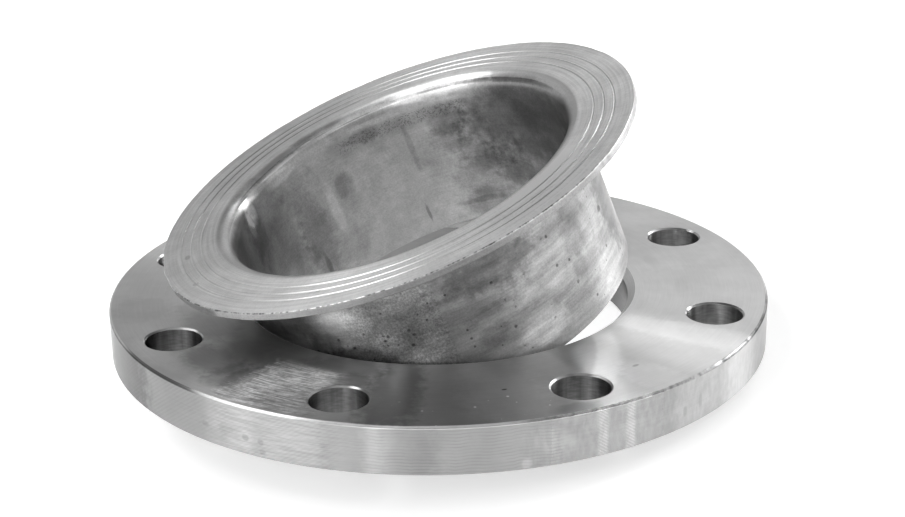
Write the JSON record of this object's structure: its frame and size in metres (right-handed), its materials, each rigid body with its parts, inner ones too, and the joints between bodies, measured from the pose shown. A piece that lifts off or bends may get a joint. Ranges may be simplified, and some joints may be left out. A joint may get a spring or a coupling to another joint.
{
  "type": "lap joint flange",
  "caption": "Loose backing flange with a ring of bolt holes, and the lap joint stub end with a grooved lap that leans in its bore.",
  "frame": {"origin": "centre of the backing flange's underside, on the flange's axis", "axes": "+Z along the flange's axis, from its underside towards the lap; X and Y pass midway between two bolt holes"},
  "size_m": [0.28, 0.28, 0.1309],
  "materials": {
    "flange_steel": "turned",
    "stub_steel": "pressed and lightly brushed"
  },
  "bodies": {
    "root": {"backing_flange": "flange_steel", "stub_end": "stub_steel"}
  },
  "joints": []
}
